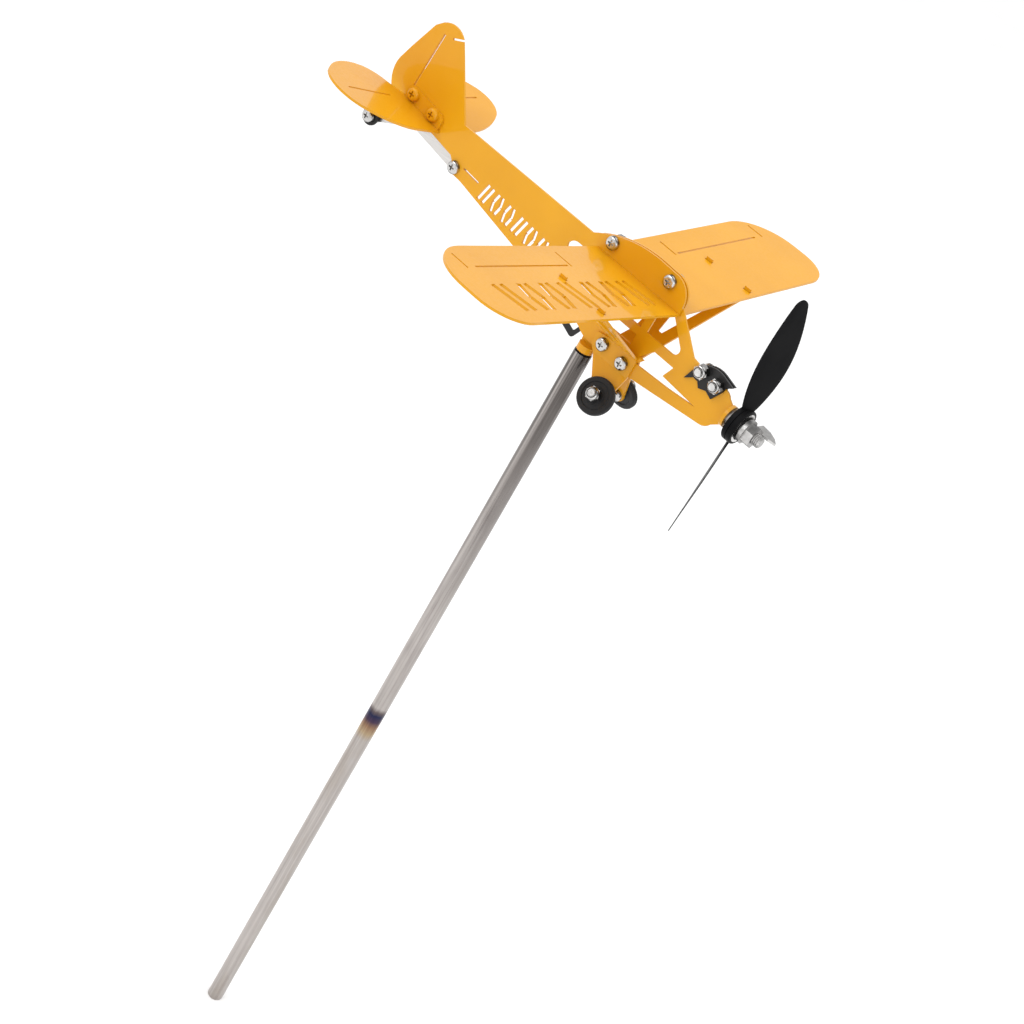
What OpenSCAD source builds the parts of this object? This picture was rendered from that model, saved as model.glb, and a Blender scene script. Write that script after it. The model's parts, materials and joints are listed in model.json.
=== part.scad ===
// Whirligig: a sheet-metal aeroplane that swivels on a two-piece steel stake.
// X points to the nose, Y to the port wing and Z up. The origin is the foot of the stake, on its axis.

/* [Stake] */
// Length of each of the two tubes
section_len = 206; // [150:2:300]
// Outside diameter of the tubes
tube_d = 8; // [7.6:0.1:8.4]
// Bore of the tubes, which the swivel spindle runs in
bore_d = 6; // [5.6:0.1:6.4]
// Length of the spigot that joins the tubes
spigot_len = 50; // [30:2:80]
// Thickness of the washer on top of the stake
thrust_washer_t = 0.8; // [0.5:0.1:1.5]

/* [Swivel] */
// Radial clearance of the spindle in the tube
spindle_clearance = 0.05; // [0.03:0.01:0.1]
// Length of the spindle inside the tube
spindle_len = 60; // [40:5:90]
// Height of the shoulder that rests on the washer
shoulder_h = 3.8; // [3:0.1:4]

/* [Sheet metal] */
// Thickness of the sheet in the body, wings, tail and legs
sheet_t = 1; // [0.8:0.1:1.2]
// Width of the narrow slits that draw the control surfaces
slit_w = 0.8; // [0.5:0.1:1.2]

/* [Wings] */
// Distance from the stake's axis to the wing tip
half_span = 118; // [110:1:130]
// Upward slope of each wing, in degrees
dihedral = 4; // [2:0.5:6]
// Leading edge of the wings, ahead of the stake's axis
wing_le = 28.5; // [28:0.5:30]
// Trailing edge of the wings, behind the stake's axis
wing_te = 17; // [16:0.5:18]
// Height of the wing roots above the top of the stake
wing_z = 39.8; // [39:0.2:41]

/* [Tail] */
// Half the width of the tailplane
tail_half_span = 52; // [46:1:56]
// Nose-down slope of the tailplane, in degrees
tail_incidence = 7; // [4:0.5:9]
// Upward slope of the hand-bent starboard half, in degrees
tail_rise_starboard = 8; // [6:0.5:10]
// Upward slope of the port half, in degrees
tail_rise_port = 1.6; // [0:0.2:4]

/* [Propeller] */
// Tip radius of the propeller
prop_r = 57.5; // [50:0.5:60]
// Turn of the propeller about its axis at rest, in degrees
prop_rest = 5; // [-90:1:90]
// Height of the propeller shaft above the top of the stake
shaft_z = 20.2; // [20:0.1:21]
// Clearance between the propeller's moving parts and the fixed ones
prop_gap = 0.3; // [0.2:0.05:0.4]

/* [Wheels] */
// Outside diameter of the two main wheels
wheel_d = 16; // [14:0.5:17]
// Width of the main wheels
wheel_w = 3; // [2.5:0.5:3.5]
// Outside diameter of the tail wheel
tail_wheel_d = 8.5; // [7.5:0.5:9]
// Outward splay of the legs, in degrees
leg_splay = 26; // [22:1:30]

/* [Hidden] */
$fn = 64;
eps = 0.02;

yellow = [0.95, 0.60, 0.10];
steel = [0.72, 0.70, 0.68];
bright = [0.85, 0.85, 0.86];
black = [0.13, 0.13, 0.14];

stake_h = 2 * section_len;
spindle_d = bore_d - 2 * spindle_clearance;
half_t = sheet_t / 2;
flange_out = half_t + sheet_t;
thrust_washer_d = tube_d - 0.8;
shoulder_d = tube_d - 0.6;

// M3 fasteners
screw_d = 3;
shank_d = 2.95;
screw_head_d = 5.8;
screw_head_h = 2.2;
nut_af = 5.5;
nut_h = 4;

// Heights and stations below are measured from the top of the stake.
top_edge_z = 42.5;
belly_z = 5;
lug_t = 1;
fold_in = 0.9;
strut_fold_in = 0.5;
leg_fold_in = 0.12;
wing_screw_xz = [[-11.6, 45.1], [18.1, 48]];
leg_screw_xz = [[6.6, 9], [17.85, 8.05]];
engine_screw_xz = [[49.4, 28.3], [57.5, 27.5]];
strip_screw_xz = [-93.8, 25.1];
strip_lug_r = 3.2;
tail_x = -120;
tail_z = 34.7;
tail_screw_u = [-7.2, 5.8];
tail_screw_up = 3.4;

// Wheels and legs
axle_x = 18.8;
leg_bend_z = 4;
leg_drop = 13;
leg_back = 3.9;
leg_front = 23;
wheel_side_gap = 0.4;
axle_clearance = 0.06;
tail_axle = [-142.8, 18.4];

// Propeller shaft
shaft_d = 5;
nose_x = 66.6;
disc_t = 1.5;
spacer_t = 3;
bearing_od = 13;
bearing_w = 4;
bearing_x = nose_x + disc_t + spacer_t;
hub_od = 15.4;
hub_back = bearing_x - 0.9;
hub_front = bearing_x + bearing_w;
washer_t = 0.8;
nut_x = hub_front + washer_t;

// ---- outline helpers -------------------------------------------------------

// Points along an arc from angle a to angle b
function arc(c, r, a, b, n = 12) =
  [for (i = [0:n]) c + r * [cos(a + (b - a) * i / n), sin(a + (b - a) * i / n)]];

// Centre of the circle through three points
function centre3(p, q, r) =
  let (d = 2 * (p.x * (q.y - r.y) + q.x * (r.y - p.y) + r.x * (p.y - q.y)))
  [((p * p) * (q.y - r.y) + (q * q) * (r.y - p.y) + (r * r) * (p.y - q.y)) / d,
   ((p * p) * (r.x - q.x) + (q * q) * (p.x - r.x) + (r * r) * (q.x - p.x)) / d];

// Shortest signed turn from angle a to angle b, in degrees
function turn(a, b) = let (d = (b - a) % 360) d > 180 ? d - 360 : d < -180 ? d + 360 : d;

// Points along the arc from p to r that passes near q
function bow(p, q, r, n = 12) =
  let (c = centre3(p, q, r), a = atan2(p.y - c.y, p.x - c.x), b = atan2(r.y - c.y, r.x - c.x))
  arc(c, norm(p - c), a, a + turn(a, b), n);

// An upright sheet drawn in the X-Z plane, between two Y faces
module sheet(y0, y1) {
  translate([0, y1, 0]) rotate([90, 0, 0]) linear_extrude(y1 - y0) children();
}

// A hole along Y at an X-Z point
module hole_y(p, d, y0, y1) {
  translate([p.x, y1, p.y]) rotate([90, 0, 0]) cylinder(d = d, h = y1 - y0);
}

// A straight slit in two dimensions
module slit(p, q, w = slit_w) {
  v = q - p;
  translate(p) rotate(atan2(v.y, v.x)) translate([0, -w / 2]) square([norm(v), w]);
}

// Half of a port or starboard pair
module on_side(side) {
  mirror([0, side == "port" ? 0 : 1, 0]) children();
}

// Everything that sits on the swivel
module aloft() {
  translate([0, 0, stake_h]) children();
}

// ---- generic cut-out markings ---------------------------------------------

// One cell of the marking row: twin slanted bars, or a split lozenge ring
module mark(kind, w, h, stroke) {
  if (kind == "bars") {
    for (s = [-1, 1]) slit([s * w / 4 - w / 6, -h / 2], [s * w / 4 + w / 6, h / 2], stroke);
  } else {
    for (s = [0, 180]) rotate(s) {
      slit([-w / 2 + stroke / 2, 0], [-w / 5, h / 2], stroke);
      slit([-w / 2 + stroke / 2, 0], [-w / 5, -h / 2], stroke);
    }
  }
}

module mark_row(pitch, w, h, stroke) {
  kinds = ["bars", "ring", "ring", "bars", "ring", "ring", "bars"];
  for (i = [0:len(kinds) - 1]) translate([i * pitch, 0]) mark(kinds[i], w, h, stroke);
}

// ---- M3 fasteners, along +Z from the face they bear on ---------------------

module cross_recess() {
  for (a = [0, 90]) rotate(a) translate([-1.4, -0.35, screw_head_h - 1.2]) cube([2.8, 0.7, 1.3]);
}

// Pan head with a domed edge, its shank reaching down through the stack
module pan_screw(grip, tail = nut_h + 0.6) {
  difference() {
    rotate_extrude() polygon(concat([[0, 0], [screw_head_d / 2, 0]],
      arc([screw_head_d / 2 - 1.3, 0.75], 1.3, -18, 82, 6), [[0, screw_head_h]]));
    cross_recess();
  }
  translate([0, 0, -grip - tail]) cylinder(d = shank_d, h = grip + tail + eps);
}

// Nylon-insert lock nut: hexagon, rounded collar and a clear bore
module lock_nut() {
  difference() {
    union() {
      cylinder(d = nut_af / cos(30), h = 2.6, $fn = 6);
      rotate_extrude() polygon(concat([[0, 2.5], [nut_af / 2, 2.5]],
        arc([nut_af / 2 - 1, nut_h - 1], 1, 0, 90, 6), [[0, nut_h]]));
    }
    translate([0, 0, -1]) cylinder(d = screw_d + 0.02, h = nut_h + 2);
  }
}

// A row of screws whose heads sit on the starboard or the port face
module screws_y(points, head_y, grip) {
  for (p = points) translate([p.x, head_y, p.y]) rotate([head_y > 0 ? -90 : 90, 0, 0]) pan_screw(grip);
}

module nuts_y(points, face_y) {
  for (p = points) translate([p.x, face_y, p.y]) rotate([face_y > 0 ? -90 : 90, 0, 0]) lock_nut();
}

// ---- stake -----------------------------------------------------------------

module tube(z0) {
  translate([0, 0, z0]) difference() {
    cylinder(d = tube_d, h = section_len);
    translate([0, 0, -1]) cylinder(d = bore_d, h = section_len + 2);
  }
}

module lower_tube() {
  color(steel) tube(0);
}

module upper_tube() {
  color(steel) tube(section_len);
}

module joint_spigot() {
  color(steel) translate([0, 0, section_len - spigot_len / 2]) cylinder(d = bore_d, h = spigot_len);
}

module thrust_washer() {
  color(black) translate([0, 0, stake_h]) difference() {
    cylinder(d = thrust_washer_d, h = thrust_washer_t);
    translate([0, 0, -1]) cylinder(d = bore_d + 0.2, h = thrust_washer_t + 2);
  }
}

// Spindle, shoulder and the flattened lug that the leg screws hold
module swivel_pin() {
  shoulder_z = thrust_washer_t + eps;
  lug = [[-4, shoulder_h], [4, shoulder_h], [21, belly_z + 0.4], [21, 12.2], [-1, 12.8], [-4, 9]];
  color(yellow) aloft() {
    translate([0, 0, -spindle_len]) cylinder(d = spindle_d, h = spindle_len + shoulder_z + eps);
    translate([0, 0, shoulder_z]) cylinder(d = shoulder_d, h = shoulder_h - shoulder_z);
    difference() {
      sheet(half_t, half_t + lug_t) polygon(lug);
      for (p = leg_screw_xz) hole_y(p, screw_d, 0, 3);
    }
  }
}

// ---- fuselage --------------------------------------------------------------

roof_rear = [-22.5, top_edge_z];
roof_mid = [-6, 49.8];
roof_top = [12, 51.4];
roof_front_c = [18.4, 42];
roof_front_r = 9.3;

// The roof line from the top edge to the windscreen
roof = concat(bow(roof_rear, roof_mid, roof_top), arc(roof_front_c, roof_front_r, 80, 5, 8));

// Fin and rudder, from the root of the fin to the heel of the rudder
fin = concat(
  [[-98.5, top_edge_z - 0.1], [-115.6, 68.2]],
  bow([-117.2, 70.6], [-123.1, 73.2], [-129.4, 71.4], 8),
  [[-132.6, 68.4], [-139, 54.6]],
  bow([-141.2, 49.4], [-142.8, 42.6], [-141, 36.4], 6),
  bow([-139.4, 33.8], [-136, 31.4], [-132, 31.2], 6));

module fuselage_outline() {
  polygon(concat(
    fin,
    [[-112, 30.2], [-98.2, 28.2]],
    arc(strip_screw_xz, strip_lug_r, 150, 290, 8),
    [[-88, 21.8], [-55, 16], [-9.4, 8.2]],
    bow([-7.4, 7.4], [-4, 5.8], [-1, 5.2], 4),
    [[24, belly_z], [56, 9.2]],
    bow([59, 9.6], [61.4, 10.6], [63, 12.6], 4),
    [[nose_x, 15.6], [nose_x, 24.6]],
    bow([64.4, 26], [62.6, 27.6], [60, 28.2], 4),
    [[46.5, 28.8], [42.6, 29.4]],
    [for (i = [len(roof) - 1:-1:0]) roof[i]]));
}

// Rear side window with one rounded corner
module rear_window() {
  polygon(concat([[-8, 35.3]], arc([-25.6, 30.8], 4.5, 90, 160, 6), [[-27, 21], [-8, 21]]));
}

// The three panes of the cabin and the slanted windscreen pane
module cabin_windows() {
  rail = [21.2, 24.8];
  post = [16.4, 20];
  polygon([[1.6, 16.5], [post[0], 16.5], [post[0], rail[0]], [1.6, rail[0]]]);
  polygon([[1.6, rail[1]], [post[0], rail[1]], [post[0], 38], [1.6, 38]]);
  polygon(concat([[post[1], rail[1]]], arc([33.6, 27.4], 2.6, -90, 30, 5), [[26.4, 38], [post[1], 38]]));
}

// Zigzag opening along the lower nose
module zigzag() {
  polygon([[22.6, 11.4], [25, 14.6], [22.4, 14.8], [27.2, 20.6], [37.4, 20.6], [35.2, 15],
    [53.6, 13.9], [40, 12.4]]);
}

module fuselage_plate() {
  holes = concat(wing_screw_xz, leg_screw_xz, engine_screw_xz, [strip_screw_xz]);
  color(yellow) aloft() difference() {
    sheet(-half_t, half_t) difference() {
      fuselage_outline();
      rear_window();
      cabin_windows();
      zigzag();
      translate([-74.4, 25]) rotate(-4) mark_row(7, 5.6, 8.4, 1.5);
      slit([-129.6, 41.6], [-126.4, 67.6]);
      slit([-122, 68.2], [-115, 71.2]);
      slit([-89.4, 27.4], [-80, 26.6]);
    }
    for (p = holes) hole_y(p, screw_d, -1, 1);
    for (u = tail_screw_u) hole_y(tail_point(u, tail_screw_up), screw_d, -1, 1);
  }
}

// ---- wings -----------------------------------------------------------------

// Root flange, shaped like the roof but set a little inside it
module wing_flange() {
  polygon(concat([[-wing_te, wing_z - fold_in]],
    bow([-wing_te - 1.5, 45], [-5, 50.4], [11.4, 52.2]),
    arc([18.5, 42.4], 9.6, 80, 0, 8),
    [[wing_le, wing_z - fold_in]]));
}

tip_te_r = (wing_le + wing_te) / 2;
tip_le_r = 16;

// Panel in plan: X along the chord, Y outward from the root
module wing_panel() {
  polygon(concat(
    [[wing_le, 0], [wing_le, half_span - tip_le_r]],
    arc([wing_le - tip_le_r, half_span - tip_le_r], tip_le_r, 0, 90, 10),
    arc([tip_te_r - wing_te, half_span - tip_te_r], tip_te_r, 90, 180, 12),
    [[-wing_te, 0]]));
}

// Hinge line and ends of the aileron
module aileron_slits() {
  hinge_x = -4.4;
  slit([hinge_x, 39.4], [hinge_x, 99.4]);
  slit([-13, 37.4], [hinge_x + 0.6, 37.4]);
  slit([-12.4, 104.6], [hinge_x + 0.6, 104.6]);
}

strut_tab_xy = [[3.4, 52.6], [24.4, 53.6]];

module wing(side, marked) {
  color(yellow) aloft() on_side(side) difference() {
    union() {
      difference() {
        sheet(half_t, flange_out) wing_flange();
        for (p = wing_screw_xz) hole_y(p, screw_d, 0, 3);
      }
      translate([0, flange_out, wing_z]) rotate([dihedral, 0, 0]) translate([0, 0, -sheet_t])
        linear_extrude(sheet_t) difference() {
          translate([0, -flange_out]) intersection() {
            wing_panel();
            translate([-50, flange_out - fold_in]) square([100, 200]);
          }
          translate([0, -flange_out]) {
            aileron_slits();
            for (p = strut_tab_xy) translate(p) square([3.6, 1.6], center = true);
            if (marked) translate([13.8, 14.4]) rotate(90) mark_row(13.8, 10, 15.6, 2.6);
          }
        }
    }
  }
}

module starboard_wing() {
  wing("starboard", true);
}

module port_wing() {
  wing("port", false);
}

module wing_screws() {
  color(bright) aloft() screws_y(wing_screw_xz, -flange_out, 2 * flange_out);
}

module wing_nuts() {
  color(bright) aloft() nuts_y(wing_screw_xz, flange_out);
}

// ---- legs and struts -------------------------------------------------------

strut_fold_z = 13;
strut_root = [8, 22.5];
tab_w = 3;

// Height of the wing's top face at a distance from the root
function wing_top_z(y) = wing_z + y * tan(dihedral);

// Two arms that spread from the fold to the wing, in the folded plane
module strut_arms(reach) {
  rear = strut_tab_xy[0].x;
  front = strut_tab_xy[1].x;
  polygon([[strut_root[0], -strut_fold_in], [strut_root[1], -strut_fold_in], [23, 9],
    [front + 2, reach], [front - 2, reach], [18.4, 15.5], [16.6, 15.5],
    [rear + 2, reach], [rear - 2, reach], [9, 9]]);
}

// Tab at the end of an arm, up through its slot in the wing
module strut_tab(p) {
  translate([p.x - tab_w / 2, p.y - half_t, wing_top_z(p.y) - 2.6]) cube([tab_w, sheet_t, 3.8]);
}

// Axle point along the splayed leg, measured from the middle of the bend
module at_axle(side, y_in) {
  on_side(side) translate([axle_x, y_in + half_t, leg_bend_z]) rotate([leg_splay, 0, 0])
    translate([0, 0, -leg_drop]) children();
}

// The upright middle of the sheet, between its two bends
module gear_middle(y_in) {
  difference() {
    sheet(y_in, y_in + sheet_t) polygon([[leg_back, leg_bend_z - leg_fold_in],
      [leg_front, leg_bend_z - leg_fold_in], [leg_front, 11], [strut_root[1], strut_fold_z + strut_fold_in],
      [strut_root[0], strut_fold_z + strut_fold_in], [strut_root[0], strut_fold_z], [2, 12], [1, 11],
      [1.6, 6.6]]);
    for (p = leg_screw_xz) hole_y(p, screw_d, 0, 6);
  }
}

// The leg that splays out below the lower bend
module gear_leg(y_in) {
  translate([0, y_in + half_t, leg_bend_z]) rotate([leg_splay, 0, 0])
    sheet(-half_t, half_t) polygon(concat([[leg_front, leg_fold_in]],
      arc([axle_x, -leg_drop], 3.4, -10, -170, 8), [[leg_back, leg_fold_in]]));
}

// One bent sheet: wheel leg below, screwed middle, two wing struts above
module gear(side, y_in) {
  run = strut_tab_xy[0].y + 0.3 - y_in - sheet_t;
  climb = wing_top_z(strut_tab_xy[0].y) - 2 * sheet_t - strut_fold_z;
  color(yellow) aloft() difference() {
    on_side(side) union() {
      gear_middle(y_in);
      gear_leg(y_in);
      translate([0, y_in + sheet_t, strut_fold_z]) rotate([atan2(climb, run), 0, 0])
        linear_extrude(sheet_t) strut_arms(norm([run, climb]));
      for (p = strut_tab_xy) strut_tab(p);
    }
    at_axle(side, y_in) rotate([90, 0, 0]) translate([0, 0, -3]) cylinder(d = screw_d, h = 6);
  }
}

module starboard_gear() {
  gear("starboard", half_t);
}

module port_gear() {
  gear("port", half_t + lug_t);
}

module leg_screws() {
  color(bright) aloft() screws_y(leg_screw_xz, -flange_out, 2 * flange_out + lug_t);
}

module leg_nuts() {
  color(bright) aloft() nuts_y(leg_screw_xz, flange_out + lug_t);
}

wheel_near = half_t + wheel_side_gap;
wheel_far = wheel_near + wheel_w;

// A tyre profile with rounded shoulders and a plain bore, along +Z
module wheel_solid(d, w, bore) {
  shoulder = min(0.8, w / 2 - 0.3);
  rotate_extrude() polygon(concat([[bore / 2, 0], [d / 2 - 2.2, 0], [d / 2 - 2, 0.25]],
    arc([d / 2 - shoulder, 0.25 + shoulder], shoulder, -90, 0, 5),
    arc([d / 2 - shoulder, w - 0.25 - shoulder], shoulder, 0, 90, 5),
    [[d / 2 - 2, w - 0.25], [d / 2 - 2.2, w], [bore / 2, w]]));
}

module main_wheel(side, y_in) {
  color(black) aloft() at_axle(side, y_in) rotate([-90, 0, 0]) translate([0, 0, wheel_near])
    wheel_solid(wheel_d, wheel_w, shank_d + 2 * axle_clearance);
}

module starboard_wheel() {
  main_wheel("starboard", half_t);
}

module port_wheel() {
  main_wheel("port", half_t + lug_t);
}

// Head against the inside of the leg, shank out through the wheel
module axle_screw(side, y_in) {
  color(bright) aloft() at_axle(side, y_in) translate([0, -half_t, 0]) rotate([90, 0, 0])
    pan_screw(half_t + wheel_far + wheel_side_gap);
}

module axle_nut(side, y_in) {
  color(bright) aloft() at_axle(side, y_in) translate([0, wheel_far + wheel_side_gap, 0])
    rotate([-90, 0, 0]) lock_nut();
}

module starboard_axle_screw() {
  axle_screw("starboard", half_t);
}

module starboard_axle_nut() {
  axle_nut("starboard", half_t);
}

module port_axle_screw() {
  axle_screw("port", half_t + lug_t);
}

module port_axle_nut() {
  axle_nut("port", half_t + lug_t);
}

// ---- engine plates ---------------------------------------------------------

// A pointed crown of cylinder heads under a bowed top edge
module engine_outline() {
  polygon(concat([[43.6, 20.9]], bow([45, 25.4], [50, 31.4], [57.4, 32.3], 8), [[63.5, 30.7], [60.9, 28.8],
    [60.6, 26.6], [57.8, 21.2], [54.4, 22.6], [51, 21.4], [49.4, 23.4], [47, 23.6]]));
}

module engine_plate(side) {
  color(black) aloft() on_side(side) difference() {
    sheet(half_t, flange_out) engine_outline();
    for (p = engine_screw_xz) hole_y(p, screw_d, 0, 3);
  }
}

module starboard_engine_plate() {
  engine_plate("starboard");
}

module port_engine_plate() {
  engine_plate("port");
}

module engine_screws() {
  color(bright) aloft() screws_y(engine_screw_xz, flange_out, 2 * flange_out);
}

module engine_nuts() {
  color(bright) aloft() nuts_y(engine_screw_xz, -flange_out);
}

// ---- tail ------------------------------------------------------------------

// A point in the tail's upright plane: u forward along the tilted root, up square to it
function tail_point(u, up) =
  [tail_x + u * cos(tail_incidence) + up * sin(tail_incidence),
   tail_z - u * sin(tail_incidence) + up * cos(tail_incidence)];

// Tailplane half in plan: X forward of its middle, Y outward from the root
module tail_panel() {
  polygon(concat(
    [[12, 0], [12.6, 7]],
    bow([12.8, 14], [10.7, 33], [3.4, 46.6], 8),
    bow([1.4, 48.6], [-7.4, tail_half_span], [-16.6, 48.8], 8),
    bow([-18.6, 47.2], [-26.2, 34], [-27.8, 21], 8),
    bow([-27, 16], [-24, 10.4], [-18.6, 6.2], 5),
    [[-12, 2], [-12, 0]]));
}

// Upright flange with rounded upper corners
module tail_flange() {
  corner_r = 2.6;
  front = 11.2;
  back = -11.4;
  polygon(concat([[front, -fold_in]], arc([front - corner_r, 3.7], corner_r, 0, 90, 4),
    arc([back + corner_r, 3.7], corner_r, 90, 180, 4), [[back, -fold_in]]));
}

module tailplane(side) {
  rise = side == "port" ? tail_rise_port : tail_rise_starboard;
  color(yellow) aloft() translate([tail_x, 0, tail_z]) rotate([0, tail_incidence, 0]) on_side(side)
    difference() {
      union() {
        sheet(half_t, flange_out) tail_flange();
        translate([0, flange_out, 0]) rotate([rise, 0, 0]) translate([0, 0, -sheet_t])
          linear_extrude(sheet_t) difference() {
            translate([0, -flange_out]) intersection() {
              tail_panel();
              translate([-50, flange_out - fold_in]) square([100, 100]);
            }
            slit([-8.4, 13.5], [-8.4, 42.5]);
          }
      }
      for (u = tail_screw_u) hole_y([u, tail_screw_up], screw_d, 0, 3);
    }
}

module starboard_tailplane() {
  tailplane("starboard");
}

module port_tailplane() {
  tailplane("port");
}

module tail_screws() {
  points = [for (u = tail_screw_u) tail_point(u, tail_screw_up)];
  color(bright) aloft() screws_y(points, -flange_out, 2 * flange_out);
}

module tail_nuts() {
  points = [for (u = tail_screw_u) tail_point(u, tail_screw_up)];
  color(bright) aloft() nuts_y(points, flange_out);
}

// Bare spring strip from under the fin back to the tail wheel
module tail_strip() {
  r = 2.4;
  a = strip_screw_xz;
  b = [-122, 28.9];
  c = tail_axle;
  run_a = atan2(b.y - a.y, b.x - a.x);
  run_c = run_a + turn(run_a, atan2(c.y - b.y, c.x - b.x));
  inside = (run_a + run_c) / 2 + 90;
  color(steel) aloft() difference() {
    sheet(half_t, flange_out) polygon(concat(
      arc(a, r, run_a - 270, run_a - 90),
      arc(b, r, run_a - 90, run_c - 90, 4),
      arc(c, r, run_c - 90, run_c + 90),
      [b + r / cos((run_c - run_a) / 2) * [cos(inside), sin(inside)]]));
    hole_y(a, screw_d, 0, 3);
    hole_y(c, screw_d, 0, 3);
  }
}

module strip_screw() {
  color(bright) aloft() screws_y([strip_screw_xz], -half_t, half_t + flange_out);
}

module strip_nut() {
  color(bright) aloft() nuts_y([strip_screw_xz], flange_out);
}

tail_wheel_w = 2;
tail_wheel_y = half_t - 0.3;
tail_screw_head_y = tail_wheel_y - tail_wheel_w - 0.3;

module tail_wheel() {
  color(black) aloft() translate([tail_axle.x, tail_wheel_y, tail_axle.y]) rotate([90, 0, 0])
    wheel_solid(tail_wheel_d, tail_wheel_w, shank_d + 2 * axle_clearance);
}

module tail_axle_screw() {
  color(bright) aloft() screws_y([tail_axle], tail_screw_head_y, flange_out - tail_screw_head_y);
}

module tail_axle_nut() {
  color(bright) aloft() nuts_y([tail_axle], flange_out);
}

// ---- boarding step ---------------------------------------------------------

// A flat stirrup under the belly, behind the cabin
module boarding_step() {
  color(black) aloft() sheet(half_t, flange_out) difference() {
    polygon(concat([[-19.6, 13]], arc([-15.8, 5.4], 2, 200, 250, 4), arc([-9.4, 2.4], 1.4, 250, 330, 5),
      [[-4.6, 9.4], [-8.2, 13]]));
    polygon([[-15.8, 10], [-15, 5.7], [-9.8, 3.8], [-8.8, 4.6], [-6.9, 8.8], [-7.6, 10]]);
  }
}

// ---- propeller shaft -------------------------------------------------------

// Moves a shape built along +Z onto the shaft, starting at station x
module on_shaft(x) {
  translate([x, 0, stake_h + shaft_z]) rotate([0, 90, 0]) children();
}

module ring(od, id, h) {
  difference() {
    cylinder(d = od, h = h);
    translate([0, 0, -1]) cylinder(d = id, h = h + 2);
  }
}

module nose_disc() {
  color(yellow) on_shaft(nose_x) ring(9.6, shaft_d, disc_t);
}

module prop_stud() {
  stud_end = nut_x + 8.6;
  color(steel) on_shaft(nose_x) cylinder(d = shaft_d, h = stud_end - nose_x);
}

module hub_spacer() {
  color(bright) on_shaft(nose_x + disc_t) ring(6.6, shaft_d, spacer_t);
}

inner_ring_od = 7.2;
outer_ring_id = 10.8;
ball_r = 1.2;
race_r = (inner_ring_od + outer_ring_id) / 4;
race_clearance = 0.05;

// The groove that the balls run in
module race() {
  translate([0, 0, bearing_w / 2]) rotate_extrude() translate([race_r, 0])
    circle(r = ball_r + race_clearance);
}

module bearing_inner_ring() {
  color(bright) on_shaft(bearing_x) difference() {
    ring(inner_ring_od, shaft_d, bearing_w);
    race();
  }
}

module bearing_outer_ring() {
  color(bright) on_shaft(bearing_x) difference() {
    ring(bearing_od, outer_ring_id, bearing_w);
    race();
  }
}

module bearing_balls() {
  color(bright) on_shaft(bearing_x + bearing_w / 2) for (i = [0:7])
    rotate(i * 45 + 22.5) translate([race_r, 0, 0]) sphere(r = ball_r, $fn = 32);
}

module bearing_seals() {
  seal_t = 0.5;
  color(black) for (x = [bearing_x + 0.1, bearing_x + bearing_w - seal_t - 0.1])
    on_shaft(x) ring(outer_ring_id, inner_ring_od + 2 * prop_gap, seal_t);
}

module front_washer() {
  color(bright) on_shaft(hub_front) ring(7, shaft_d, washer_t);
}

lock_tab_t = 0.8;

// Tab washer with one pointed fin that stands forward on the port side
module lock_tab() {
  fin_t = 1;
  root_y = 3.5;
  clear_y = 5.6;
  fin_x = nut_x + lock_tab_t;
  color(bright) {
    on_shaft(nut_x) ring(10, shaft_d, lock_tab_t);
    aloft() translate([0, 0, shaft_z - fin_t / 2]) linear_extrude(fin_t)
      polygon([[nut_x, root_y], [nut_x, 7], [nut_x + 0.7, 13.2], [nut_x + 5, 12.6], [nut_x + 8.7, 10.3],
        [nut_x + 11.1, 7.4], [nut_x + 7.7, 6.4], [fin_x, clear_y], [fin_x, root_y]]);
  }
}

// Flanged hexagon nut
module hub_nut() {
  flange_t = 0.9;
  nut_len = 4.7;
  across_flats = 8;
  color(bright) on_shaft(nut_x + lock_tab_t) difference() {
    union() {
      cylinder(d = 10.5, h = flange_t);
      cylinder(d = across_flats / cos(30), h = nut_len, $fn = 6);
    }
    translate([0, 0, -1]) cylinder(d = shaft_d + 0.02, h = nut_len + 2);
  }
}

// ---- propeller -------------------------------------------------------------

blade_root_r = 5.6;
blade_steps = 16;
blade_t = 1.1;
blade_x = 72.6;
blade_rake = 2.6;

// Chord, sweep and pitch of the blade at a fraction of the way from root to tip
function blade_chord(u) = 6 + 9.8 * sin(180 * pow(u, 0.85)) - 3.4 * pow(u, 20);
function blade_sweep(u) = 0.6 + 1.2 * sin(180 * u) - 0.6 * u;
function blade_pitch(u) = 24 - 4.5 * u;
function blade_thick(u) = blade_t * (1 - 0.45 * u);

// Corner j of the blade's section: a flat-bottomed lens of eight points
function section_point(j, chord, t) =
  let (x = [-0.5, -0.3, 0, 0.3, 0.5, 0.3, 0, -0.3][j], z = [0, 0.42, 0.6, 0.42, 0, -0.3, -0.4, -0.3][j])
  [x * chord, z * t];

// Where a section point lies: along the blade's pitch, at its radius
function blade_point(u, j) =
  let (
    p = section_point(j, blade_chord(u), blade_thick(u)) + [blade_sweep(u), 0],
    a = blade_pitch(u))
  [p.x * sin(a) - p.y * cos(a) - blade_rake * u,
   p.x * cos(a) + p.y * sin(a),
   blade_root_r + (prop_r - blade_root_r) * u];

module blade() {
  n = 8;
  points = [for (i = [0:blade_steps]) for (j = [0:n - 1]) blade_point(i / blade_steps, j)];
  sides = [for (i = [0:blade_steps - 1]) for (j = [0:n - 1])
    [i * n + j, i * n + (j + 1) % n, (i + 1) * n + (j + 1) % n, (i + 1) * n + j]];
  ends = [[for (j = [n - 1:-1:0]) j], [for (j = [0:n - 1]) blade_steps * n + j]];
  polyhedron(points, concat(sides, ends), convexity = 4);
}

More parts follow.
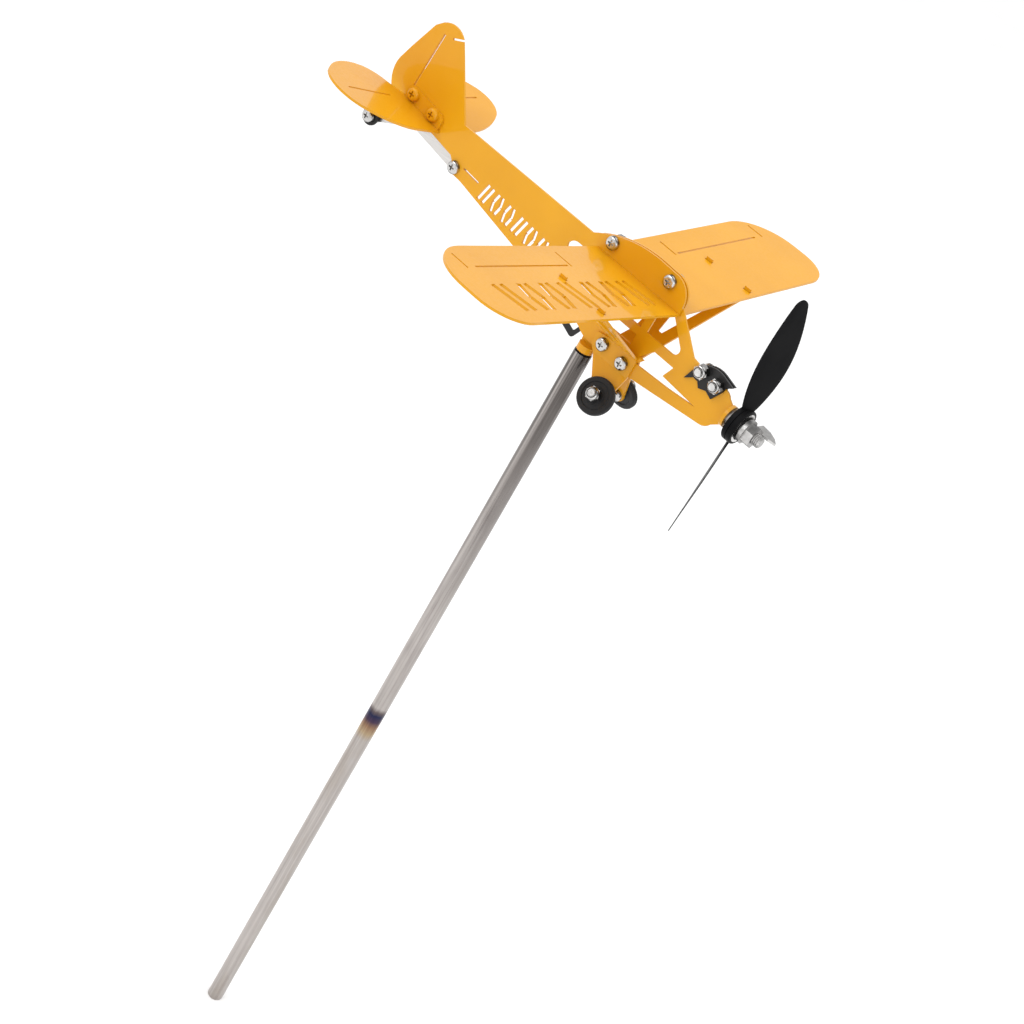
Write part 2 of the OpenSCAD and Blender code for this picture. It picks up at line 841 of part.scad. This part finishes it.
module propeller() {
  color(black) {
    on_shaft(0) translate([0, 0, hub_back]) difference() {
      rotate_extrude() polygon(concat([[0, 0], [hub_od / 2 - 1.4, 0]],
        arc([hub_od / 2 - 1, 1], 1, -90, 0, 4),
        arc([hub_od / 2 - 1, hub_front - hub_back - 1], 1, 0, 90, 4), [[0, hub_front - hub_back]]));
      translate([0, 0, bearing_x - hub_back]) cylinder(d = bearing_od, h = bearing_w + 1);
      translate([0, 0, -1]) cylinder(d = 11, h = 4);
    }
    for (s = [0, 180]) translate([blade_x, 0, stake_h + shaft_z]) rotate([prop_rest + s, 0, 0])
      difference() {
        blade();
        rotate([0, 90, 0]) translate([0, 0, -10]) cylinder(d = hub_od - 2, h = 20);
      }
  }
}

lower_tube();
upper_tube();
joint_spigot();
thrust_washer();
swivel_pin();
fuselage_plate();
starboard_wing();
port_wing();
wing_screws();
wing_nuts();
starboard_gear();
port_gear();
leg_screws();
leg_nuts();
starboard_engine_plate();
port_engine_plate();
engine_screws();
engine_nuts();
starboard_tailplane();
port_tailplane();
tail_screws();
tail_nuts();
tail_strip();
strip_screw();
strip_nut();
boarding_step();
starboard_axle_screw();
starboard_axle_nut();
port_axle_screw();
port_axle_nut();
tail_axle_screw();
tail_axle_nut();
starboard_wheel();
port_wheel();
tail_wheel();
nose_disc();
prop_stud();
hub_spacer();
bearing_inner_ring();
front_washer();
lock_tab();
hub_nut();
propeller();
bearing_outer_ring();
bearing_balls();
bearing_seals();
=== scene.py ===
import json
import math
import bpy
import bmesh
from mathutils import Matrix, Vector


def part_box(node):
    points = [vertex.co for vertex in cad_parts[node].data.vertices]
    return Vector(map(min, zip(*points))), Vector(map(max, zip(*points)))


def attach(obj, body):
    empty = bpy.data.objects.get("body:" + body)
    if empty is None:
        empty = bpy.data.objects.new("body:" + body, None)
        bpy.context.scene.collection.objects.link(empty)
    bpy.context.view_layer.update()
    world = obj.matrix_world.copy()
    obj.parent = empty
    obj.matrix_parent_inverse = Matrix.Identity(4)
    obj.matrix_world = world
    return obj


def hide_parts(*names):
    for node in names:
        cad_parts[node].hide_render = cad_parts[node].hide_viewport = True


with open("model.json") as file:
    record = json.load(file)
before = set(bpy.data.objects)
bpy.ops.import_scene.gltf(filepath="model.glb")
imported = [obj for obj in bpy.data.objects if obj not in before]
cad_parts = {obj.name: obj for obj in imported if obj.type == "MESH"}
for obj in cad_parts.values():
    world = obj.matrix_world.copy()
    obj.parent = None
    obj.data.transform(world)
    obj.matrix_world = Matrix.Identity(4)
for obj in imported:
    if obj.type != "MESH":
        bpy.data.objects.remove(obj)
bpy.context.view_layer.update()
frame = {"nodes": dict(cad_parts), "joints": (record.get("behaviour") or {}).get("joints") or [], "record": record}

MM = 0.001
nodes = frame["nodes"]
record = frame["record"]
slot_of = {s["node"]: s["material_slot"] for s in record["subparts"]}
joints = {j["name"]: j for j in frame["joints"]}


# ---- where things are, from the CAD ----------------------------------------

stake_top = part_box("upper_tube")[1].z
joint_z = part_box("upper_tube")[0].z
shaft = Vector(joints["propeller_spin"]["pos_m"])


# ---- node-tree helpers ------------------------------------------------------

class Mat:
    """A material with a Principled shader and short calls for the nodes it needs."""

    def __init__(self, name, **values):
        self.m = bpy.data.materials.new(name)
        self.m.use_nodes = True
        self.t = self.m.node_tree
        self.b = self.t.nodes["Principled BSDF"]
        for k, v in values.items():
            self.b.inputs[k.replace("_", " ")].default_value = v
        self.co = self.node("ShaderNodeTexCoord").outputs["Object"]

    def node(self, kind, **values):
        n = self.t.nodes.new(kind)
        for k, v in values.items():
            setattr(n, k, v)
        return n

    def link(self, a, b):
        self.t.links.new(a, b)

    def put(self, socket, v):
        if isinstance(v, (int, float, tuple)):
            socket.default_value = v
        else:
            self.link(v, socket)

    def scaled(self, x, y, z):
        n = self.node("ShaderNodeMapping")
        n.inputs["Scale"].default_value = (x, y, z)
        self.link(self.co, n.inputs["Vector"])
        return n.outputs["Vector"]

    def noise(self, scale, detail=2.0, rough=0.5, vector=None):
        n = self.node("ShaderNodeTexNoise")
        n.inputs["Scale"].default_value = scale
        n.inputs["Detail"].default_value = detail
        n.inputs["Roughness"].default_value = rough
        self.link(vector or self.co, n.inputs["Vector"])
        return n.outputs["Fac"]

    def ramp(self, fac, *stops):
        n = self.node("ShaderNodeValToRGB")
        e = n.color_ramp.elements
        while len(e) < len(stops):
            e.new(0.5)
        for i, (p, c) in enumerate(stops):
            e[i].position = p
            e[i].color = (*c, 1) if len(c) == 3 else c
        self.put(n.inputs["Fac"], fac)
        return n.outputs["Color"]

    def grey(self, fac, *stops):
        return self.ramp(fac, *[(p, (v, v, v)) for p, v in stops])

    def mix(self, fac, a, b, blend="MIX"):
        n = self.node("ShaderNodeMix", data_type="RGBA", blend_type=blend)
        self.put(n.inputs[0], fac)
        self.put(n.inputs[6], (*a, 1) if isinstance(a, tuple) and len(a) == 3 else a)
        self.put(n.inputs[7], (*b, 1) if isinstance(b, tuple) and len(b) == 3 else b)
        return n.outputs[2]

    def math(self, op, a, b=0.0):
        n = self.node("ShaderNodeMath", operation=op)
        self.put(n.inputs[0], a)
        self.put(n.inputs[1], b)
        return n.outputs[0]

    def axis(self, i, vector=None):
        n = self.node("ShaderNodeSeparateXYZ")
        self.link(vector or self.co, n.inputs[0])
        return n.outputs[i]

    def span(self, v, a, b):
        """0 at a and 1 at b, straight between them."""
        n = self.node("ShaderNodeMapRange", clamp=True)
        self.put(n.inputs["Value"], v)
        n.inputs["From Min"].default_value = a
        n.inputs["From Max"].default_value = b
        return n.outputs["Result"]

    def bump(self, height, distance, strength=1.0, normal=None):
        n = self.node("ShaderNodeBump")
        n.inputs["Strength"].default_value = strength
        n.inputs["Distance"].default_value = distance
        self.link(height, n.inputs["Height"])
        if normal:
            self.link(normal, n.inputs["Normal"])
        return n.outputs["Normal"]

    def colour(self, v):
        self.link(v, self.b.inputs["Base Color"])

    def facing(self, x, y, z):
        """How far the surface turns towards a fixed direction, from 0 (away) to 1 (full on)."""
        geo = self.node("ShaderNodeNewGeometry")
        dot = self.node("ShaderNodeVectorMath", operation="DOT_PRODUCT")
        self.link(geo.outputs["Normal"], dot.inputs[0])
        dot.inputs[1].default_value = Vector((x, y, z)).normalized()
        return self.span(dot.outputs["Value"], -1.0, 1.0)

    def rough(self, v):
        self.link(v, self.b.inputs["Roughness"])

    def normal(self, v, coat=False):
        self.link(v, self.b.inputs["Normal"])
        if coat:
            self.link(v, self.b.inputs["Coat Normal"])


# ---- materials --------------------------------------------------------------

def amber_paint():
    p = Mat("amber_gloss_paint", Metallic=0.0, Coat_Weight=0.45, Coat_Roughness=0.05, Coat_IOR=1.5,
            Specular_IOR_Level=0.12)
    cloud = p.noise(28, 3)
    tone = p.ramp(cloud, (0.3, (0.65, 0.292, 0.003)), (0.7, (0.71, 0.330, 0.005)))
    # Painted shade: the base colour turns darker amber along edges and in creases, where the bevel normal parts
    # from the face normal.
    edge = p.node("ShaderNodeBevel", samples=4)
    edge.inputs["Radius"].default_value = 0.00035
    geo = p.node("ShaderNodeNewGeometry")
    dot = p.node("ShaderNodeVectorMath", operation="DOT_PRODUCT")
    p.link(edge.outputs[0], dot.inputs[0])
    p.link(geo.outputs["Normal"], dot.inputs[1])
    crease_shade = p.grey(dot.outputs["Value"], (0.86, 1.0), (0.985, 0.0))
    p.colour(p.mix(p.math("MULTIPLY", crease_shade, 0.45), tone, (0.48, 0.18, 0.002)))
    speck = p.noise(900, 2)
    p.rough(p.grey(speck, (0.35, 0.30), (0.65, 0.42)))
    peel = p.noise(420, 2, 0.45)
    wave = p.noise(45, 2, 0.4)
    n = p.bump(peel, 0.00003, 0.35)
    p.normal(p.bump(wave, 0.0006, 0.25, n), coat=True)
    return p.m


def black_paint():
    p = Mat("black_satin_paint", Coat_Weight=0.1, Coat_Roughness=0.25, Specular_IOR_Level=0.35)
    p.colour(p.ramp(p.noise(120, 3), (0.35, (0.005, 0.005, 0.005)), (0.7, (0.010, 0.009, 0.010))))
    p.rough(p.grey(p.noise(800, 2), (0.3, 0.36), (0.7, 0.52)))
    p.normal(p.bump(p.noise(1400, 2), 0.00004, 0.5))
    return p.m


def tube_steel():
    p = Mat("drawn_tube_steel", Metallic=1.0, Anisotropic=0.45)
    z = p.axis(2)
    drawn = p.noise(1.0, 4, 0.6, p.scaled(1500, 1500, 12))
    blotch = p.noise(1.0, 3, 0.55, p.scaled(160, 160, 30))
    rings = p.noise(1.0, 2, 0.6, p.scaled(120, 120, 5200))
    base = p.ramp(drawn, (0.30, (0.33, 0.30, 0.285)), (0.70, (0.52, 0.485, 0.465)))
    base = p.mix(p.grey(blotch, (0.45, 0.0), (0.75, 0.35)), base, (0.26, 0.235, 0.22))
    # Painted reflection: dark streaks towards the top of the stake stand for dark surroundings mirrored in the
    # steel; the same band is also made glossier.
    painted_reflection_band = p.span(z, stake_top - 0.15, stake_top - 0.02)
    reflection_streaks = p.noise(1.0, 2, 0.5, p.scaled(430, 430, 2.5))
    painted_dark_reflection = p.math("MULTIPLY", painted_reflection_band, p.grey(reflection_streaks, (0.40, 0.0), (0.54, 1.0)))
    base = p.mix(p.math("MULTIPLY", painted_dark_reflection, 0.9), base, (0.075, 0.066, 0.062))
    heat = p.span(z, joint_z - 0.016, joint_z + 0.0045)
    shift = p.math("ADD", heat, p.math("MULTIPLY", p.math("SUBTRACT", blotch, 0.5), 0.16))
    tint = p.ramp(shift, (0.0, (1, 1, 1)), (0.22, (0.95, 0.78, 0.52)), (0.42, (0.62, 0.40, 0.26)),
                  (0.58, (0.16, 0.11, 0.20)), (0.76, (0.06, 0.075, 0.19)), (0.88, (0.30, 0.26, 0.28)),
                  (1.0, (1, 1, 1)))
    p.colour(p.mix(1.0, base, tint, "MULTIPLY"))
    r = p.mix(0.5, p.grey(drawn, (0.3, 0.24), (0.7, 0.40)), p.grey(rings, (0.3, 0.26), (0.7, 0.42)))
    p.rough(p.mix(p.math("MULTIPLY", painted_reflection_band, 0.6), r, (0.17, 0.17, 0.17)))
    n = p.bump(drawn, 0.00004, 0.35)
    p.normal(p.bump(rings, 0.00002, 0.35, n))
    return p.m


def strip_steel():
    p = Mat("bare_strip_steel", Metallic=1.0, Anisotropic=0.3)
    grain = p.noise(1.0, 4, 0.6, p.scaled(60, 900, 900))
    p.colour(p.ramp(grain, (0.3, (0.52, 0.50, 0.485)), (0.7, (0.70, 0.68, 0.66))))
    p.rough(p.grey(grain, (0.3, 0.22), (0.7, 0.38)))
    p.normal(p.bump(grain, 0.00004, 0.4))
    return p.m


def plated_steel():
    p = Mat("plated_steel", Metallic=1.0)
    wash = p.noise(260, 3)
    tone = p.ramp(wash, (0.3, (0.50, 0.49, 0.48)), (0.7, (0.74, 0.73, 0.72)))
    # Painted highlight and reflection: the colour is lighter or darker by how far each face turns to one fixed
    # direction.
    painted_light_bands = p.grey(p.facing(0.35, -0.1, 0.9), (0.05, 0.06), (0.27, 0.12), (0.36, 0.85),
                 (0.78, 1.0), (0.87, 0.22), (0.94, 0.18), (1.0, 0.75))
    p.colour(p.mix(1.0, tone, painted_light_bands, "MULTIPLY"))
    scratch = p.noise(1.0, 3, 0.7, p.scaled(4200, 700, 4200))
    p.rough(p.grey(scratch, (0.3, 0.09), (0.75, 0.24)))
    p.normal(p.bump(scratch, 0.00002, 0.35))
    return p.m


def dull_steel():
    p = Mat("dull_zinc", Metallic=1.0)
    wash = p.noise(420, 3)
    tone = p.ramp(wash, (0.3, (0.52, 0.51, 0.50)), (0.7, (0.74, 0.73, 0.72)))
    # Painted highlight and reflection: the colour is lighter or darker by how far each face turns to one fixed
    # direction.
    painted_light_bands = p.grey(p.facing(0.25, -0.35, 0.9), (0.05, 0.12), (0.35, 0.30), (0.60, 0.50),
                 (0.72, 1.0), (0.86, 0.70), (1.0, 0.40))
    p.colour(p.mix(1.0, tone, painted_light_bands, "MULTIPLY"))
    p.rough(p.grey(p.noise(1800, 2), (0.3, 0.28), (0.7, 0.44)))
    p.normal(p.bump(p.noise(1500, 3), 0.00004, 0.5))
    return p.m


def black_plastic():
    p = Mat("moulded_black_plastic", Specular_IOR_Level=0.06)
    p.colour(p.ramp(p.noise(70, 3), (0.3, (0.003, 0.003, 0.0035)), (0.7, (0.007, 0.007, 0.0075))))
    flow = p.noise(1.0, 3, 0.5, p.scaled(300, 300, 60))
    p.rough(p.grey(flow, (0.3, 0.36), (0.7, 0.52)))
    p.normal(p.bump(p.noise(1600, 2), 0.00003, 0.4))
    return p.m


def black_rubber():
    p = Mat("black_rubber", Specular_IOR_Level=0.3, Sheen_Weight=0.05, Sheen_Roughness=0.5)
    dust = p.noise(500, 4, 0.65)
    p.colour(p.ramp(dust, (0.35, (0.005, 0.005, 0.0055)), (0.8, (0.016, 0.016, 0.017))))
    p.rough(p.grey(dust, (0.3, 0.42), (0.7, 0.62)))
    p.normal(p.bump(p.noise(2200, 2), 0.00005, 0.5))
    return p.m


def nylon():
    p = Mat("nylon_insert", Specular_IOR_Level=0.4, Subsurface_Weight=0.1)
    p.colour(p.ramp(p.noise(900, 2), (0.3, (0.055, 0.052, 0.05)), (0.7, (0.10, 0.095, 0.09))))
    p.rough(p.grey(p.noise(1500, 2), (0.3, 0.40), (0.7, 0.55)))
    p.normal(p.bump(p.noise(2600, 2), 0.00003, 0.5))
    return p.m


look = {
    "yellow_paint": amber_paint(),
    "black_paint": black_paint(),
    "tube_steel": tube_steel(),
    "strip_steel": strip_steel(),
    "plated_steel": plated_steel(),
    "black_plastic": black_plastic(),
    "black_rubber": black_rubber(),
}
zinc = dull_steel()
insert = nylon()


def edge_bevel(o, width, segments=2, angle=35):
    b = o.modifiers.new("edge", "BEVEL")
    b.width = width
    b.segments = segments
    b.limit_method = "ANGLE"
    b.angle_limit = math.radians(angle)
    b.harden_normals = True
    b.use_clamp_overlap = True
    b.miter_outer = "MITER_ARC"


for name, o in nodes.items():
    o.data.materials.clear()
    o.data.materials.append(look[slot_of[name]])
    for f in o.data.polygons:
        f.material_index = 0

for name in ("lock_tab", "hub_nut", "hub_spacer", "front_washer", "prop_stud"):
    nodes[name].data.materials.clear()
    nodes[name].data.materials.append(zinc)


# ---- mesh helpers -----------------------------------------------------------

def mesh_object(name, verts, faces, material, smooth=True):
    m = bpy.data.meshes.new(name)
    m.from_pydata([tuple(v) for v in verts], [], faces)
    m.validate()
    b = bmesh.new()
    b.from_mesh(m)
    bmesh.ops.recalc_face_normals(b, faces=b.faces)
    b.to_mesh(m)
    b.free()
    for f in m.polygons:
        f.use_smooth = smooth
    o = bpy.data.objects.new(name, m)
    bpy.context.scene.collection.objects.link(o)
    m.materials.append(material)
    return o


def auto_smooth(o, angle=32):
    """Smooth shading that keeps every edge sharper than the angle."""
    for f in o.data.polygons:
        f.use_smooth = True
    b = bmesh.new()
    b.from_mesh(o.data)
    for e in b.edges:
        e.smooth = e.is_manifold and e.calc_face_angle(math.pi) < math.radians(angle)
    b.to_mesh(o.data)
    b.free()


def along(direction):
    return Vector((0, 0, 1)).rotation_difference(Vector(direction)).to_matrix().to_4x4()


def lathe(profile, steps, place):
    """Vertices and faces of a closed profile of (radius, height) turned about +Z, then placed."""
    verts, faces, n = [], [], len(profile)
    for i in range(steps):
        a = 2 * math.pi * i / steps
        for r, h in profile:
            verts.append(place @ Vector((r * math.cos(a), r * math.sin(a), h)))
    for i in range(steps):
        k = (i + 1) % steps
        for j in range(n):
            l = (j + 1) % n
            faces.append((i * n + j, k * n + j, k * n + l, i * n + l))
    return verts, faces


def turned(name, profile, place, material, steps=64, angle=32):
    v, f = lathe([(r * MM, h * MM) for r, h in profile], steps, place)
    o = mesh_object(name, v, f, material)
    auto_smooth(o, angle)
    return o


def round_arc(cx, cy, r, a, b, n=6):
    return [(cx + r * math.cos(math.radians(a + (b - a) * i / n)),
             cy + r * math.sin(math.radians(a + (b - a) * i / n))) for i in range(n + 1)]


# ---- camera -----------------------------------------------------------------

# Lens and sensor in mm, and the camera's place in metres, its height taken from the stake's top.
# Both come from a fit of the camera to the photo.
sensor_mm, lens_mm = 36, 65.477
cam_x, cam_y, cam_above_stake = 0.30201, -0.61707, 0.30665

cam_data = bpy.data.cameras.new("camera")
cam_data.sensor_width = sensor_mm
cam_data.lens = lens_mm
cam_data.clip_start = 0.01
cam_data.clip_end = 20
cam = bpy.data.objects.new("camera", cam_data)
bpy.context.scene.collection.objects.link(cam)
right = Vector((0.67481, 0.59428, 0.43756))
up = Vector((-0.63593, 0.16741, 0.75337))
back = Vector((0.37446, -0.78664, 0.49089))
cam.matrix_world = Matrix((
    (right.x, up.x, back.x, cam_x),
    (right.y, up.y, back.y, cam_y),
    (right.z, up.z, back.z, stake_top + cam_above_stake),
    (0, 0, 0, 1)))
bpy.context.scene.camera = cam


# ---- floor and light --------------------------------------------------------

def floor():
    half = 6.0
    corners = [(-half, -half, 0), (half, -half, 0), (half, half, 0), (-half, half, 0)]
    p = Mat("pale_floor")
    p.colour(p.ramp(p.noise(6, 3), (0.3, (0.91, 0.91, 0.908)), (0.7, (0.94, 0.94, 0.938))))
    p.rough(p.grey(p.noise(40, 2), (0.3, 0.75), (0.7, 0.9)))
    o = mesh_object("floor", corners, [(0, 1, 2, 3)], p.m, False)


floor()


def area(name, where, target, size, power, colour=(1, 1, 1)):
    d = bpy.data.lights.new(name, "AREA")
    d.shape = "RECTANGLE"
    d.size, d.size_y = size
    d.energy = power
    d.color = colour
    o = bpy.data.objects.new(name, d)
    bpy.context.scene.collection.objects.link(o)
    o.location = where
    o.rotation_euler = (Vector(target) - Vector(where)).to_track_quat("-Z", "Y").to_euler()


aim = (0, 0, stake_top)
area("key", (-0.9, -1.3, 1.75), aim, (1.3, 1.0), 10)
area("fill", (1.7, -1.0, 1.25), aim, (1.2, 1.2), 5)
area("top", (0.1, 0.5, 2.1), aim, (1.8, 1.4), 8)

world_strength = 1.12
world = bpy.data.worlds.new("studio")
bpy.context.scene.world = world
world.use_nodes = True
wt = world.node_tree
bg = wt.nodes["Background"]
wco = wt.nodes.new("ShaderNodeTexCoord")
wsep = wt.nodes.new("ShaderNodeSeparateXYZ")
wt.links.new(wco.outputs["Generated"], wsep.inputs[0])
wramp = wt.nodes.new("ShaderNodeValToRGB")
wel = wramp.color_ramp.elements
wel[0].position, wel[0].color = 0.0, (0.85, 0.85, 0.85, 1)
wel[1].position, wel[1].color = 1.0, (1.0, 1.0, 1.0, 1)
wt.links.new(wsep.outputs[2], wramp.inputs["Fac"])
wt.links.new(wramp.outputs["Color"], bg.inputs["Color"])
bg.inputs["Strength"].default_value = world_strength

bpy.context.scene.view_settings.view_transform = "Standard"
bpy.context.scene.view_settings.look = "None"


# ---- propeller --------------------------------------------------------------

def propeller():
    bearing_lo, bearing_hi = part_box("bearing_outer_ring")
    tip_r, root_r = 57.5, 6.9
    blade_x, rake = 72.6, 2.6
    rest = math.radians(5)
    root_pitch, washout = 24, 4.5
    root_thickness = 0.95
    tip_from, tip_len = 0.955, 0.045

    def chord(u):
        return 6.0 + 9.7 * math.sin(math.pi * u ** 0.85) - 1.3 * u ** 12

    def sweep(u):
        return 0.6 + 1.2 * math.sin(math.pi * u) - 0.6 * u

    n, rows = 40, 56
    verts, faces = [], []
    for s in (0, 1):
        base = len(verts)
        turn = Matrix.Rotation(rest + s * math.pi, 4, "X")
        for i in range(rows + 1):
            u = i / rows
            # rows crowd towards the rounded tip
            u = 1 - (1 - u) ** 1.35
            c = chord(u) * math.sqrt(max(0.0, 1 - max(0.0, (u - tip_from) / tip_len) ** 2.2 * 0.96))
            t = root_thickness * (1 - 0.45 * u)
            a = math.radians(root_pitch - washout * u)
            thick = 1 + 0.5 * max(0.0, 1 - u / 0.12) ** 2
            for j in range(n):
                w = 2 * math.pi * j / n
                px = 0.5 * c * math.cos(w)
                lens = math.copysign(abs(math.sin(w)) ** 0.85, math.sin(w))
                pz = (0.55 if lens > 0 else 0.36) * t * thick * lens
                px += sweep(u)
                x = px * math.sin(a) - pz * math.cos(a) - rake * u
                y = px * math.cos(a) + pz * math.sin(a)
                z = root_r + (tip_r - root_r) * u
                v = turn @ Vector((x, y, z))
                verts.append(Vector(((blade_x + v.x) * MM, v.y * MM, shaft.z + v.z * MM)))
        for i in range(rows):
            for j in range(n):
                k = (j + 1) % n
                faces.append((base + i * n + j, base + i * n + k,
                              base + (i + 1) * n + k, base + (i + 1) * n + j))
        faces.append(tuple(base + j for j in range(n)))
        faces.append(tuple(base + rows * n + j for j in reversed(range(n))))
    blades = mesh_object("propeller_blades", verts, faces, look["black_plastic"])
    auto_smooth(blades, 50)
    back_x = bearing_lo.x / MM - 0.9
    depth = bearing_hi.x / MM - back_x
    rim = 7.7
    profile = ([(5.5, 0.0), (rim - 1.2, 0.0)] + round_arc(rim - 1.0, 1.0, 1.0, -90, 0, 5)
               + [(rim, depth * 0.45), (rim - 0.35, depth * 0.5), (rim, depth * 0.55)]
               + round_arc(rim - 0.7, depth - 0.7, 0.7, 0, 90, 5)
               + [(6.75, depth), (6.52, depth - 0.2), (6.52, 0.9), (5.6, 0.85)])
    place = Matrix.Translation(Vector((back_x * MM, 0, shaft.z))) @ along((1, 0, 0))
    hub = turned("propeller_hub", profile, place, look["black_plastic"], 96)
    for o in (blades, hub):
        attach(o, "propeller")
        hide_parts("propeller")


propeller()


# ---- wheels -----------------------------------------------------------------

def wheel(node, joint, dia, width, body):
    axis = Vector(joints[joint]["axis"])
    at = Vector(joints[joint]["pos_m"])
    r, w = dia / 2, width
    q = min(0.85, w * 0.3)
    tyre = ([(1.54, 0.1), (r * 0.44, 0.1), (r * 0.47, 0.45), (r * 0.70, 0.45), (r * 0.74, 0.12)]
            + round_arc(r - q, q + 0.1, q, -100, -8, 7)
            + [(r - 0.02, w * 0.36), (r - 0.16, w * 0.40), (r - 0.16, w * 0.44), (r, w * 0.48),
               (r, w * 0.52), (r - 0.16, w * 0.56), (r - 0.16, w * 0.60), (r - 0.02, w * 0.64)]
            + round_arc(r - q, w - q - 0.1, q, 8, 100, 7)
            + [(r * 0.74, w - 0.12), (r * 0.70, w - 0.45), (r * 0.47, w - 0.45), (r * 0.44, w - 0.1),
               (1.54, w - 0.1)])
    place = Matrix.Translation(at - axis * (w / 2) * MM) @ along(axis)
    o = turned(node + "_tyre", tyre, place, look["black_rubber"], 96, 40)
    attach(o, body)
    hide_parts(node)


wheel("starboard_wheel", "starboard_wheel_spin", 16, 3, "starboard_wheel")
wheel("port_wheel", "port_wheel_spin", 16, 3, "port_wheel")
wheel("tail_wheel", "tail_wheel_spin", 8.5, 2, "tail_wheel")


# ---- lock-nut inserts -------------------------------------------------------

def nut_dressing(nut, centre_at, out):
    """The nylon ring in a lock nut's collar; out points away from the sheet."""
    ring = [(1.50, 3.75), (1.62, 3.98)] + round_arc(1.95, 3.92, 0.16, 120, 20, 4) + [(2.12, 3.7), (1.9, 3.6)]
    place = Matrix.Translation(centre_at) @ along(out)
    o = turned(nut, ring, place, insert, 40, 60)
    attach(o, "aeroplane")


def islands(node):
    """Boxes of the separate solids of a node, from tail to nose."""
    b = bmesh.new()
    b.from_mesh(nodes[node].data)
    bmesh.ops.remove_doubles(b, verts=b.verts, dist=1e-7)
    seen, found = set(), []
    for v in b.verts:
        if v.index in seen:
            continue
        stack, mine = [v], []
        seen.add(v.index)
        while stack:
            w = stack.pop()
            mine.append(w.co.copy())
            for e in w.link_edges:
                x = e.other_vert(w)
                if x.index not in seen:
                    seen.add(x.index)
                    stack.append(x)
        lo = Vector([min(c[i] for c in mine) for i in range(3)])
        hi = Vector([max(c[i] for c in mine) for i in range(3)])
        found.append((lo, hi))
    b.free()
    return sorted(found, key=lambda p: p[0].x)


for node, side in (("wing_nuts", 1), ("leg_nuts", 1), ("engine_nuts", -1), ("tail_nuts", 1),
                   ("strip_nut", 1), ("tail_axle_nut", 1)):
    for i, (lo, hi) in enumerate(islands(node)):
        mid = (lo + hi) / 2
        base = lo.y if side > 0 else hi.y
        nut_dressing(f"{node}_insert_{i + 1}", Vector((mid.x, base, mid.z)), (0, side, 0))
half_wheel, nut_gap = 1.5, 0.4
for name in ("starboard", "port"):
    axis = Vector(joints[name + "_wheel_spin"]["axis"])
    at = Vector(joints[name + "_wheel_spin"]["pos_m"]) + axis * (half_wheel + nut_gap) * MM
    nut_dressing(name + "_axle_nut_insert", at, axis)


# ---- weld at the nose -------------------------------------------------------

def nose_weld():
    """Lumpy bead where the disc is fixed to the edge of the plate."""
    disc_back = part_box("nose_disc")[0].x
    bead_r, bead_half, bead_depth, squash = 3.0, 0.5, 0.42, 0.55
    verts, faces = [], []
    around, ring = 72, 10
    for i in range(around):
        a = 2 * math.pi * i / around
        lump = 1 + 0.16 * math.sin(9 * a) + 0.08 * math.sin(17 * a + 1)
        for j in range(ring):
            b = 2 * math.pi * j / ring
            r = bead_r + bead_half * lump * math.cos(b)
            x = bead_depth * lump * math.sin(b)
            verts.append(Vector((disc_back + x * MM, r * math.cos(a) * MM * squash,
                                 shaft.z + r * math.sin(a) * MM)))
    for i in range(around):
        k = (i + 1) % around
        for j in range(ring):
            l = (j + 1) % ring
            faces.append((i * ring + j, k * ring + j, k * ring + l, i * ring + l))
    o = mesh_object("nose_weld", verts, faces, look["yellow_paint"])
    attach(o, "aeroplane")


nose_weld()


# ---- threaded stud ----------------------------------------------------------

def threaded_stud():
    lo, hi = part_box("prop_stud")
    length = (hi.x - lo.x) / MM
    pitch, major, minor = 0.8, 2.5, 2.1
    around, rows_a_turn = 36, 6
    rows = int(length / pitch * rows_a_turn)
    verts, faces = [], []
    for i in range(rows + 1):
        h = length * i / rows
        fade = min(1.0, (length - h) / 0.6)
        for j in range(around):
            a = j / around
            phase = (h / pitch - a) % 1.0
            tooth = abs(2 * phase - 1)
            r = minor + (major - minor) * min(1.0, tooth * 1.25)
            r = min(r, minor - 0.15 + (major - minor + 0.15) * fade)
            verts.append(Vector((lo.x + h * MM, r * MM * math.cos(2 * math.pi * a),
                                 shaft.z + r * MM * math.sin(2 * math.pi * a))))
    for i in range(rows):
        for j in range(around):
            k = (j + 1) % around
            faces.append((i * around + j, i * around + k, (i + 1) * around + k, (i + 1) * around + j))
    faces.append(tuple(range(around)))
    faces.append(tuple(rows * around + j for j in reversed(range(around))))
    o = mesh_object("prop_stud_thread", verts, faces, zinc)
    auto_smooth(o, 40)
    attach(o, "aeroplane")
    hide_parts("prop_stud")


threaded_stud()


# ---- edges of the CAD nodes -------------------------------------------------

sheet_edge, tube_edge = 0.09, 0.15
sheets = ("fuselage_plate", "starboard_wing", "port_wing", "starboard_gear", "port_gear",
          "starboard_tailplane", "port_tailplane", "starboard_engine_plate",
          "port_engine_plate", "boarding_step", "tail_strip")
for name in sheets:
    edge_bevel(nodes[name], sheet_edge * MM)
for name in ("upper_tube", "lower_tube"):
    edge_bevel(nodes[name], tube_edge * MM)
